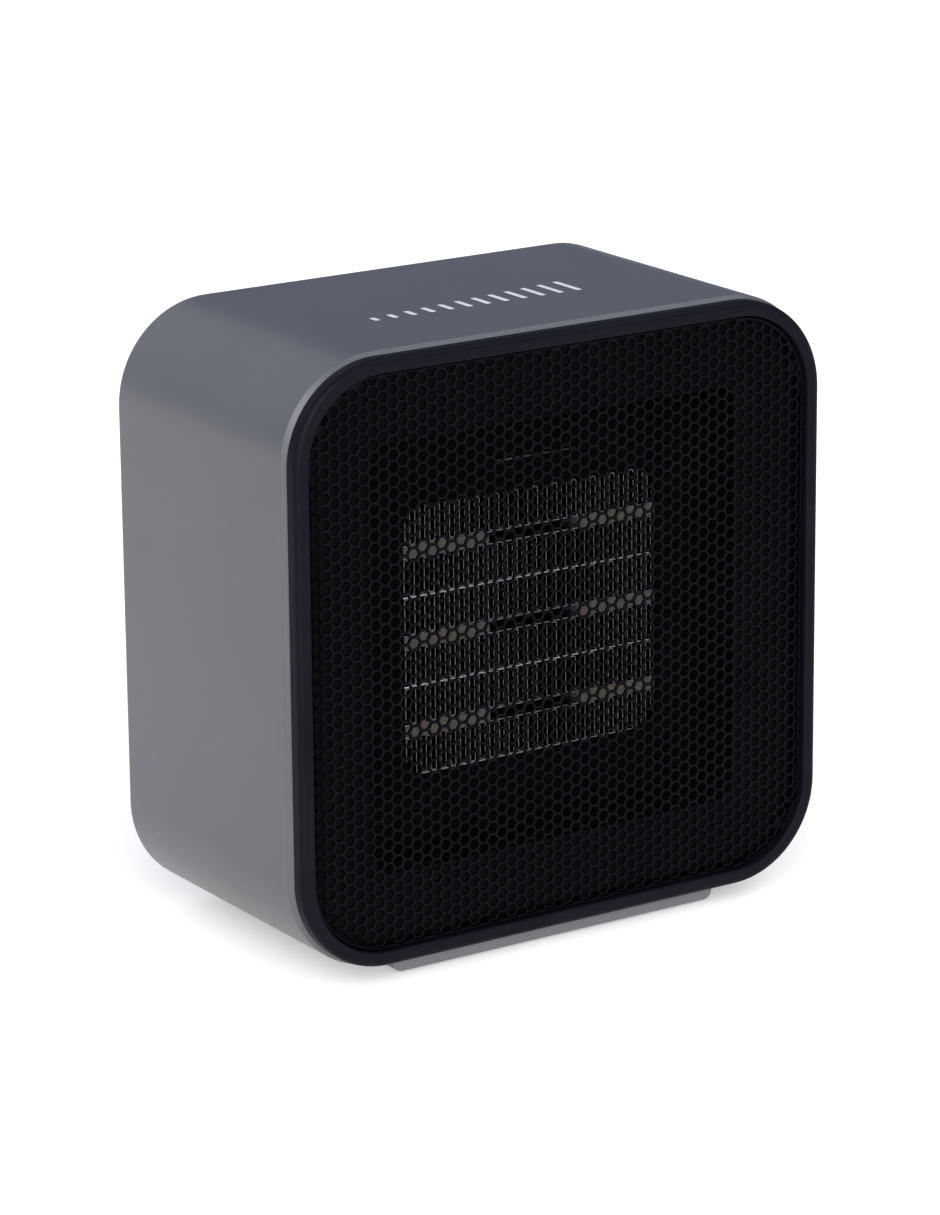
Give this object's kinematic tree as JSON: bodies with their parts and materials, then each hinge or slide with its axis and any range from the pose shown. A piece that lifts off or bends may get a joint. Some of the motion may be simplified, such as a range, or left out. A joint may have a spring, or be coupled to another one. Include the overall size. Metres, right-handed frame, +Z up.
{
  "type": "ceramic space heater",
  "caption": "Small square ceramic fan heater with a grey sleeve casing, black ring, honeycomb grille and a low foot.",
  "frame": {"origin": "middle of the bounding box at the height the pads stand on", "axes": "+Z up, the grille faces -Y, +X to the right as seen from the front"},
  "size_m": [0.15, 0.08, 0.1522],
  "materials": {
    "casing_paint": "satin grey paint on plastic",
    "black_plastic": "semi-gloss moulded",
    "grille_steel": "black satin paint",
    "frame_plastic": "matt moulded",
    "plate_steel": "matt black",
    "aluminium": "plain foil and strip",
    "ceramic": "bare fired ceramic",
    "heat_plastic": "natural glass-filled plastic",
    "zinc_steel": "zinc plated",
    "motor_steel": "stacked laminations",
    "copper": "enamelled winding wire",
    "bronze": "sintered bronze",
    "fan_plastic": "moulded, slight sheen",
    "rubber": "matt"
  },
  "bodies": {
    "heater_body": {"casing_sleeve": "casing_paint", "front_bezel": "black_plastic", "front_grille": "grille_steel", "front_frame": "frame_plastic", "element_plate": "plate_steel", "fin_strip_1": "aluminium", "fin_strip_2": "aluminium", "fin_strip_3": "aluminium", "fin_strip_4": "aluminium", "fin_strip_5": "aluminium", "fin_strip_6": "aluminium", "ceramic_stone_1_left": "ceramic", "ceramic_stone_1_right": "ceramic", "ceramic_stone_2_left": "ceramic", "ceramic_stone_2_right": "ceramic", "ceramic_stone_3_left": "ceramic", "ceramic_stone_3_right": "ceramic", "electrode_1_lower": "aluminium", "electrode_1_upper": "aluminium", "electrode_2_lower": "aluminium", "electrode_2_upper": "aluminium", "electrode_3_lower": "aluminium", "electrode_3_upper": "aluminium", "spacer_plate_1": "aluminium", "spacer_plate_2": "aluminium", "outer_plate_bottom": "aluminium", "outer_plate_top": "aluminium", "element_holder_left": "heat_plastic", "element_holder_right": "heat_plastic", "cutout_bracket": "zinc_steel", "thermal_cutout": "zinc_steel", "thermal_fuse": "zinc_steel", "fan_shroud": "frame_plastic", "motor_stator": "motor_steel", "motor_coil": "copper", "bearing_bracket_front": "zinc_steel", "bearing_bracket_rear": "zinc_steel", "bearing_bush_front": "bronze", "bearing_bush_rear": "bronze", "rear_cover": "frame_plastic", "cover_screw_1": "zinc_steel", "cover_screw_2": "zinc_steel", "cover_screw_3": "zinc_steel", "cover_screw_4": "zinc_steel", "switch_body": "black_plastic", "cord_gland": "rubber", "tip_switch_body": "frame_plastic", "tip_spring": "zinc_steel", "foot_base": "casing_paint", "rubber_pad_1": "rubber", "rubber_pad_2": "rubber", "rubber_pad_3": "rubber", "rubber_pad_4": "rubber"},
    "fan_rotor": {"impeller": "fan_plastic", "motor_shaft": "zinc_steel", "motor_rotor": "motor_steel"},
    "rocker": {"power_rocker": "black_plastic"},
    "plunger": {"tip_plunger": "heat_plastic"}
  },
  "joints": [
    {"name": "fan_spin", "type": "hinge", "parent": "heater_body", "child": "fan_rotor", "pos_m": [0, 0, 0.0782], "axis": [0, 1, 0], "continuous": true},
    {"name": "rocker_tilt", "type": "hinge", "parent": "heater_body", "child": "rocker", "pos_m": [0.047, 0.0355, 0.1297], "axis": [1, 0, 0], "range_deg": [-11, 11]},
    {"name": "plunger_slide", "type": "slide", "parent": "heater_body", "child": "plunger", "axis": [0, 0, 1], "range_m": [-0.0035, 0], "stiffness_N_per_m": 80, "springref_m": -0.006, "deforming": ["tip_spring"]}
  ]
}
